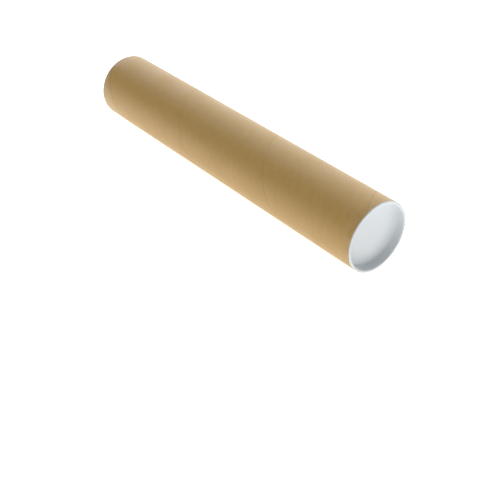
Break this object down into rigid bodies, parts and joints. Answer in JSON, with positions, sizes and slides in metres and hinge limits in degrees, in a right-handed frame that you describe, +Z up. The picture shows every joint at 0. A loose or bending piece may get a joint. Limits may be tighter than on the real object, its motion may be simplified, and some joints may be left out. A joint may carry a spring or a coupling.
{
  "type": "drawing tube",
  "caption": "Spiral-wound paperboard tube for rolled drawings, closed at both ends by push-in plastic caps that pull off.",
  "frame": {"origin": "on the surface that the tube lies on, under the middle of its length", "axes": "+X along the tube's axis towards the front end cap, +Z up, +Y across the tube"},
  "size_m": [0.4572, 0.08, 0.08],
  "materials": {
    "kraft_paper": "satin",
    "core_board": "matte",
    "liner_paper": "matte",
    "white_plastic": "satin"
  },
  "bodies": {
    "tube": {"outer_wrap_ply": "kraft_paper", "outer_core_ply": "core_board", "inner_core_ply": "core_board", "inner_liner_ply": "liner_paper"},
    "front_cap": {"front_end_cap": "white_plastic"},
    "rear_cap": {"rear_end_cap": "white_plastic"}
  },
  "joints": [
    {"name": "front_cap_pull", "type": "slide", "parent": "tube", "child": "front_cap", "axis": [1, 0, 0], "range_m": [0, 0.15]},
    {"name": "rear_cap_pull", "type": "slide", "parent": "tube", "child": "rear_cap", "axis": [-1, 0, 0], "range_m": [0, 0.15]}
  ]
}
